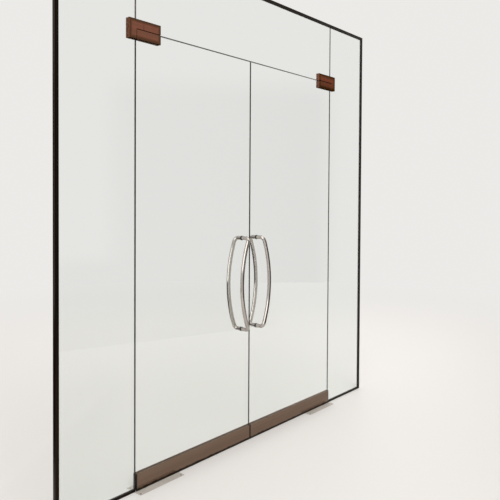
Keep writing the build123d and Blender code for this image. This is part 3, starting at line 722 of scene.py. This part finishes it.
class SetStage(Operator):
    """Pale floor, soft lamps, backdrop and the camera of the photograph"""
    bl_idname = "entrance.set_stage"
    bl_label = "Studio"

    def execute(self, context):
        studio = context.scene.entrance_studio
        pockets = [pocket_outline(cover, studio.pocket_gap) for cover in both("closer_cover")]
        floor = open_floor("studio_floor", studio.floor_radius, -studio.floor_drop, pockets)
        floor.data.materials.append(floor_finish(studio))
        bed = pocket_ledges("floor_pockets", studio)
        mortar = moulded_finish(
            "pocket_mortar", studio.pocket_tone, roughness=0.8, speckle=500.0, depth=200 * micron)
        bed.data.materials.append(mortar)
        for name, at, size, glow in reflection_cards:
            card = panel(name, at, size)
            card.data.materials.append(card_finish(name, glow, studio))
            card.visible_camera = False
            card.visible_diffuse = False
            card.visible_transmission = False
            card.visible_shadow = False
        add_lamp("key_light", "SUN", key_place, studio.key_strength, angle=studio.key_spread)
        for name, at, (width, height), power in soft_lamps:
            softbox = add_lamp(name, "AREA", at, power, shape="RECTANGLE", size=width, size_y=height)
            softbox.visible_camera = False
        light_backdrop(studio)
        set_camera(studio)
        context.scene.view_settings.view_transform = "Standard"
        return {"FINISHED"}


# Studio

# Soft lamps: name, place, width and height, power in watts
soft_lamps = (
    ("front_softbox", (-2.6, -4.4, 3.2), (2.4, 2.0), 30.0),
    ("back_softbox", (2.4, 3.8, 3.4), (2.8, 2.0), 22.0),
)
# Cards that only reflections see: name, place, width and height, glow
reflection_cards = (
    ("dark_front_card", (-0.6, -7.0, 4.2), (6.4, 10.4), 0.12),
    ("dark_low_card", (0.9, -2.7, 0.15), (4.4, 1.8), 0.03),
    ("dark_right_card", (4.9, -5.0, 1.5), (4.6, 5.0), 0.03),
    ("dark_back_card", (-3.0, 6.4, 1.7), (9.0, 4.6), 0.30),
    ("dark_inside_card", (-0.85, 1.2, 0.45), (3.2, 1.0), 0.02),
    ("bright_left_card", (-5.6, -2.2, 3.6), (4.6, 4.8), 3.0),
    ("bright_side_card", (-6.2, 2.0, 2.3), (4.2, 4.8), 3.0),
    ("bright_right_card", (5.6, 2.2, 3.0), (3.4, 4.6), 2.0),
    ("bright_top_card", (-0.4, -0.8, 5.4), (5.0, 4.0), 2.0),
)
key_place = (-3.0, -4.0, 6.5)
# Point in the entrance that lamps and cards face
target = Vector((0.0, 0.0, 1.1))


def add_object(name, shape):
    """Makes an object of a bmesh and adds it to the scene."""
    mesh = bpy.data.meshes.new(name)
    shape.to_mesh(mesh)
    shape.free()
    made = bpy.data.objects.new(name, mesh)
    bpy.context.scene.collection.objects.link(made)
    return made


def pocket_outline(node, gap):
    """Corners of a cover plate's outline in X and Y, moved out by a gap."""
    low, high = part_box(node)
    left, right, front, back = low.x - gap, high.x + gap, low.y - gap, high.y + gap
    return [(left, front), (right, front), (right, back), (left, back)]


def loop(shape, corners, height):
    """A ring of vertices at one height."""
    return [shape.verts.new((x, y, height)) for x, y in corners]


def open_floor(name, radius, height, pockets):
    """Round floor with an opening for each cover plate."""
    shape = bmesh.new()
    turns = [2 * pi * step / floor_steps for step in range(floor_steps)]
    rings = [loop(shape, [(radius * cos(turn), radius * sin(turn)) for turn in turns], height)]
    rings += [loop(shape, corners, height) for corners in pockets]
    edges = [shape.edges.new((ring[i - 1], ring[i])) for ring in rings for i in range(len(ring))]
    bmesh.ops.triangle_fill(shape, use_beauty=True, edges=edges)
    return add_object(name, shape)


def pocket_ledges(name, studio):
    """Sides of the floor's openings, and the ledges that the cover plates' edges lie over."""
    shape = bmesh.new()
    for cover in both("closer_cover"):
        wide = pocket_outline(cover, studio.pocket_gap)
        narrow = pocket_outline(cover, -studio.pocket_lip)
        rings = [
            loop(shape, wide, -studio.floor_drop),
            loop(shape, wide, -studio.pocket_depth),
            loop(shape, narrow, -studio.pocket_depth),
        ]
        for upper, lower in zip(rings, rings[1:]):
            for i in range(len(upper)):
                shape.faces.new((upper[i - 1], upper[i], lower[i], lower[i - 1]))
    return add_object(name, shape)


def facing(at):
    """Rotation that turns an object's -Z from its place to the target."""
    return (target - Vector(at)).to_track_quat("-Z", "Y").to_euler()


def panel(name, at, size):
    """A flat card that faces the target."""
    shape = bmesh.new()
    bmesh.ops.create_grid(shape, x_segments=1, y_segments=1, size=0.5)
    bmesh.ops.scale(shape, vec=(*size, 1.0), verts=shape.verts)
    made = add_object(name, shape)
    made.location = at
    made.rotation_euler = facing(at)
    return made


def add_lamp(name, kind, at, strength, **settings):
    """A lamp that faces the target, and that reflections and rays through glass don't see."""
    lamp = bpy.data.lights.new(name, kind)
    lamp.energy = strength
    lamp.color = bpy.context.scene.entrance_studio.lamp_tone
    for setting, value in settings.items():
        setattr(lamp, setting, value)
    made = bpy.data.objects.new(name, lamp)
    made.location = at
    made.rotation_euler = facing(at)
    made.visible_glossy = False
    made.visible_transmission = False
    bpy.context.scene.collection.objects.link(made)
    return made


def light_backdrop(studio):
    """Pale world for the camera, for reflections and through glass, and a softer lamp for the rest."""
    world = bpy.data.worlds.new("studio_backdrop")
    bpy.context.scene.world = world
    world.use_nodes = True
    tree = world.node_tree
    background = tree.nodes["Background"]
    background.inputs["Color"].default_value = rgba(studio.backdrop_tone)
    strength = spread(tree, seen_directly(tree), 0.0, 1.0, studio.ambience, 1.0)
    tree.links.new(strength, background.inputs["Strength"])


def set_camera(studio):
    """The photograph's viewpoint, from its own perspective."""
    lens = bpy.data.cameras.new("photograph_view")
    lens.lens = studio.lens
    lens.shift_y = -studio.frame_drop
    camera = bpy.data.objects.new("photograph_view", lens)
    turn = Matrix.Rotation(-studio.eye_turn, 4, "Z")
    level = Matrix.Rotation(radians(90) - studio.eye_dip, 4, "X")
    roll = Matrix.Rotation(studio.eye_roll, 4, "Z")
    camera.matrix_world = Matrix.Translation(studio.eye) @ turn @ level @ roll
    bpy.context.scene.collection.objects.link(camera)
    bpy.context.scene.camera = camera


# Registration

class EntrancePanel(Panel):
    """Steps that dress the glass entrance"""
    bl_idname = "VIEW3D_PT_glass_entrance"
    bl_label = "Glass Entrance"
    bl_space_type = "VIEW_3D"
    bl_region_type = "UI"
    bl_category = "Glass Entrance"

    def draw(self, context):
        column = self.layout.column(align=True)
        for step in steps:
            column.operator(step.bl_idname)


steps = (
    DressPanes,
    DressChannels,
    AddGasketLips,
    DressPatches,
    DressRails,
    DressPulls,
    DressClosers,
    SetStage,
)
setting_groups = {
    "entrance_finishes": EntranceFinishes,
    "entrance_wear": EntranceWear,
    "entrance_sizes": EntranceSizes,
    "entrance_studio": StudioSettings,
}


def register():
    for made in (*setting_groups.values(), *steps, EntrancePanel):
        bpy.utils.register_class(made)
    for name, group in setting_groups.items():
        setattr(bpy.types.Scene, name, PointerProperty(type=group))


def unregister():
    for name in setting_groups:
        delattr(bpy.types.Scene, name)
    for made in (EntrancePanel, *reversed(steps), *reversed(setting_groups.values())):
        bpy.utils.unregister_class(made)


def main():
    register()
    bpy.ops.entrance.dress_panes()
    bpy.ops.entrance.dress_channels()
    bpy.ops.entrance.add_gasket_lips()
    bpy.ops.entrance.dress_patches()
    bpy.ops.entrance.dress_rails()
    bpy.ops.entrance.dress_pulls()
    bpy.ops.entrance.dress_closers()
    bpy.ops.entrance.set_stage()


if __name__ == "__main__":
    main()
